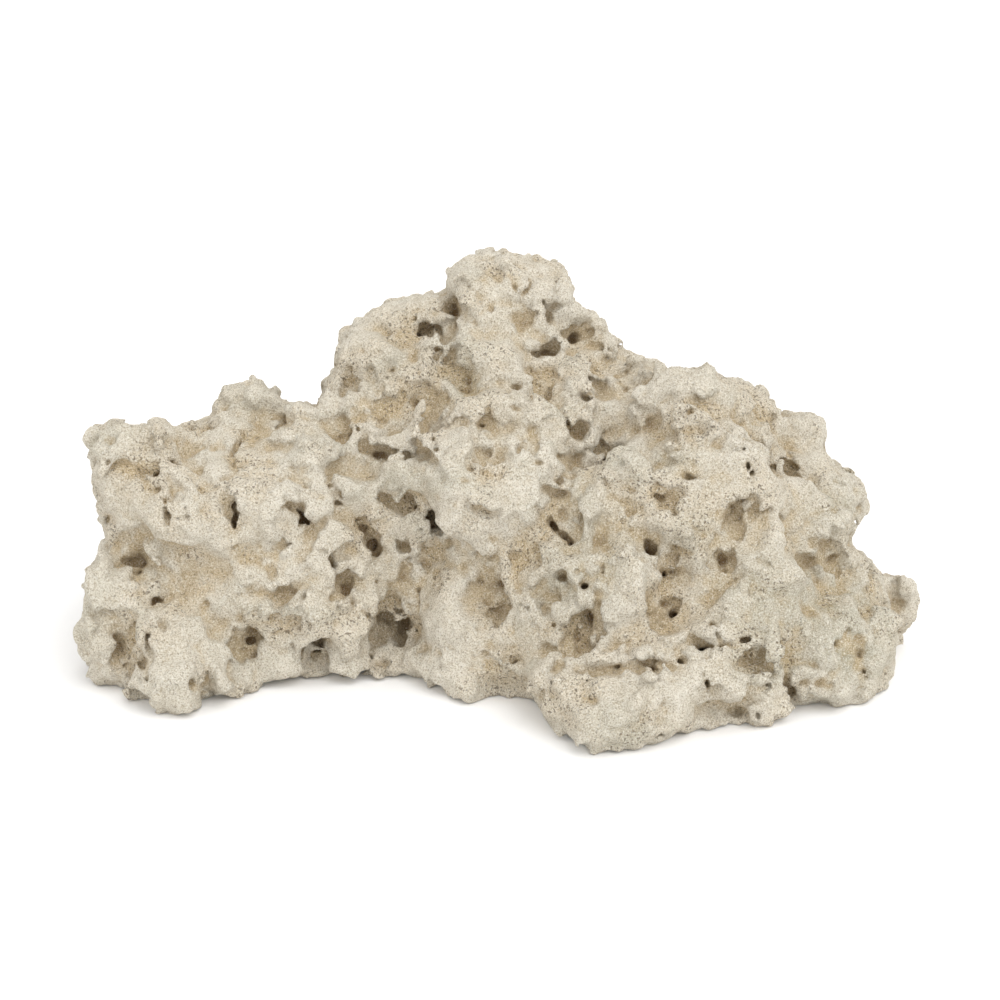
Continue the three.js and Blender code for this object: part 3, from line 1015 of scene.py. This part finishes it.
def weathered_with_painted_light(n, shade, hollow):
    """Crests paler as a painted highlight, patchy tan in hollows that is partly deposits and partly
    painted shade, and brown deep in the pits that is partly deposits and partly painted shade.
    """
    pit = n.attribute("pit")
    sunk = n.math("ADD", n.math("MULTIPLY", pit, 0.6), n.math("MULTIPLY", hollow, 0.7))
    deposit_and_shade = n.math("ADD", sunk, n.math("MULTIPLY", n.attribute("ochre_and_shade"), 0.28))
    patchy = n.math("ADD", deposit_and_shade, n.ramp(n.noise(190, 4, 0.6), 0.3, 0.7, -0.16, 0.16))
    # Paler crests: a painted highlight on raised skin.
    shade = n.mix(n.ramp(sunk, 0.0, -0.3, 0.0, 0.3), shade, colour(CREST_HIGHLIGHT))
    # Tan in hollows and round holes: partly deposits, partly painted shade darkening the recesses.
    shade = n.mix(n.ramp(patchy, -0.1, 0.5, 0.0, 0.66), shade, colour(TAN_AND_SHADE))
    # Brown deep in the pits: partly brown deposits, partly painted shade where little light reaches.
    return n.mix(n.ramp(sunk, 0.45, 1.0, 0.0, 0.85), shade, colour(DEEP_BROWN_AND_SHADE))


def grained(n, shade, grain):
    """Dark and light grains, and clusters of fine dark specks."""
    shade = n.mix(n.ramp(grain, 0.5, 0.64, 0.0, 0.7), shade, colour(GRAIN_DARK))
    shade = n.mix(n.ramp(grain, 0.48, 0.36, 0.0, 0.65), shade, colour(GRAIN_LIGHT))
    clusters = n.ramp(n.noise(60, 3), 0.48, 0.6)
    specks = n.math("MULTIPLY", n.ramp(n.noise(1000, 1), 0.58, 0.66), clusters)
    return n.mix(n.math("MULTIPLY", specks, 0.65), shade, colour(SPECK))


def limestone():
    """Chalky cream stone with painted highlights on its crests, tan in its hollows and brown in its
    pits that are partly painted shade, grey-green stains that are partly painted shade too, and fine
    dark specks.
    """
    n = Nodes("limestone")
    hollow = n.attribute("hollow")
    grain = n.noise(1900, 3, 0.7)
    shade = weathered_with_painted_light(n, stained_and_shaded(n, clean_stone(n), hollow), hollow)
    n.link(grained(n, shade, grain), n.shader.inputs["Base Color"])
    n.shader.inputs["Roughness"].default_value = 0.95
    n.shader.inputs["Specular IOR Level"].default_value = 0.2
    coarse = n.bump(n.noise(420, 3, 0.6), 0.0017)
    n.link(n.bump(grain, 0.0010, coarse), n.shader.inputs["Normal"])
    return n.material


def pale_floor():
    n = Nodes("pale_floor")
    n.shader.inputs["Base Color"].default_value = colour(FLOOR_WHITE)
    n.shader.inputs["Roughness"].default_value = 0.9
    mesh = bpy.data.meshes.new("floor")
    half = FLOOR_HALF_WIDTH
    corners = [(-half, -half, 0), (half, -half, 0), (half, half, 0), (-half, half, 0)]
    mesh.from_pydata(corners, [], [(0, 1, 2, 3)])
    mesh.materials.append(n.material)
    floor = bpy.data.objects.new("floor", mesh)
    bpy.context.scene.collection.objects.link(floor)


def soft_sun(name, direction, strength):
    """A light that comes from that direction, as soft as a wide studio panel."""
    light = bpy.data.lights.new(name, "SUN")
    light.energy = strength
    light.angle = PANEL_ANGLE
    lamp = bpy.data.objects.new(name, light)
    lamp.rotation_euler = Vector(direction).to_track_quat("Z", "Y").to_euler()
    bpy.context.scene.collection.objects.link(lamp)


def light_room():
    world = bpy.data.worlds.new("studio")
    world.use_nodes = True
    backdrop = world.node_tree.nodes["Background"]
    backdrop.inputs["Color"].default_value = (1, 1, 1, 1)
    backdrop.inputs["Strength"].default_value = SKY
    bpy.context.scene.world = world
    soft_sun("key", KEY_FROM, KEY)
    soft_sun("fill", FILL_FROM, FILL)


def camera():
    data = bpy.data.cameras.new("camera")
    data.lens = LENS
    data.sensor_width = SENSOR
    data.sensor_fit = "AUTO"
    data.clip_end = CAMERA_SEES_TO * MM
    eye = bpy.data.objects.new("camera", data)
    eye.location = Vector(EYE * MM)
    eye.rotation_euler = Vector(-BACKWARD).to_track_quat("-Z", "Y").to_euler()
    bpy.context.scene.collection.objects.link(eye)
    bpy.context.scene.camera = eye


camera()
light_room()
pale_floor()
bpy.context.scene.view_settings.view_transform = "Standard"

stone = stone_piece()
stone.data.materials.append(limestone())
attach(stone, BODY)
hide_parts(NODE)
